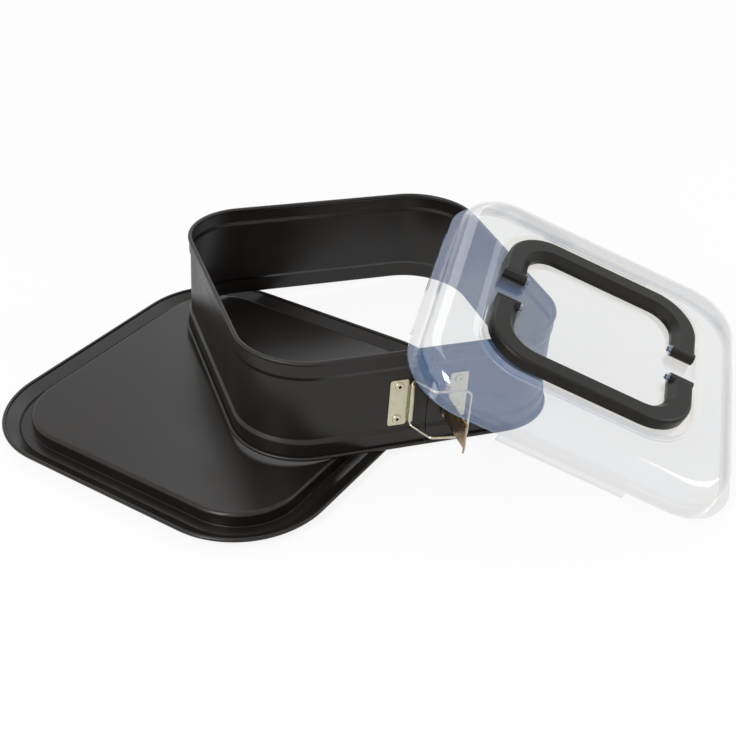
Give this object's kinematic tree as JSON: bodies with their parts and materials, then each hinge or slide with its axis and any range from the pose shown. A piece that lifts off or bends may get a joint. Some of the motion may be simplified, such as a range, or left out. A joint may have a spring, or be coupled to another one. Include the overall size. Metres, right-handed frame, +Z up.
{
  "type": "square springform pan with cover",
  "caption": "Square springform baking pan laid open: flat base plate, latched steel ring leaning on it, and a clear carrying cover with folding handles",
  "frame": {"origin": "on the table under the middle of the whole layout's bounding box", "axes": "+X to the right along the row of pieces (longest extent), +Y away from the viewer, +Z up (shortest extent)"},
  "size_m": [0.567, 0.3644, 0.1254],
  "materials": {
    "nonstick_steel": "dark brown-black non-stick coating with a soft satin sheen",
    "latch_steel": "zinc-plated pressed steel, slightly warm",
    "bail_wire": "bright plated spring wire",
    "lever_steel": "plated steel strip",
    "clear_plastic": "clear moulded plastic with a faint haze",
    "handle_plastic": "black moulded plastic, satin gloss"
  },
  "bodies": {
    "base": {"base_plate": "nonstick_steel"},
    "ring": {"ring_band": "nonstick_steel", "bail_plate": "latch_steel", "bail_plate_rivets": "latch_steel", "lever_plate": "latch_steel", "lever_plate_rivets": "latch_steel", "lever_pin": "latch_steel"},
    "bail": {"latch_bail": "bail_wire"},
    "lever": {"latch_lever": "lever_steel"},
    "cover": {"cover_shell": "clear_plastic"},
    "rear_handle": {"rear_handle": "handle_plastic"},
    "front_handle": {"front_handle": "handle_plastic"}
  },
  "joints": [
    {"name": "ring_lift", "type": "slide", "parent": "base", "child": "ring", "axis": [0, 0, 1], "range_m": [0, 0.12]},
    {"name": "cover_lift", "type": "slide", "parent": "ring", "child": "cover", "axis": [0, 0, 1], "range_m": [0, 0.08]},
    {"name": "lever_turn", "type": "hinge", "parent": "ring", "child": "lever", "pos_m": [0.04915, -0.07118, 0.04557], "axis": [0.0631, 0.0217, 0.9978], "range_deg": [-25, 88]},
    {"name": "bail_turn", "type": "hinge", "parent": "ring", "child": "bail", "pos_m": [0.0233, -0.08008, 0.04739], "axis": [0.0631, 0.0217, 0.9978], "range_deg": [-9, 31]},
    {"name": "rear_handle_turn", "type": "hinge", "parent": "cover", "child": "rear_handle", "pos_m": [0.1628, -0.01682, 0.08024], "axis": [0.9071, -0.1839, -0.3786], "range_deg": [0, 101]},
    {"name": "front_handle_turn", "type": "hinge", "parent": "cover", "child": "front_handle", "pos_m": [0.15506, -0.04832, 0.077], "axis": [-0.9071, 0.1839, 0.3786], "range_deg": [0, 101]}
  ],
  "couplings": [
    {"joint": "bail_turn", "follows": "lever_turn", "ratio": 0.342}
  ]
}
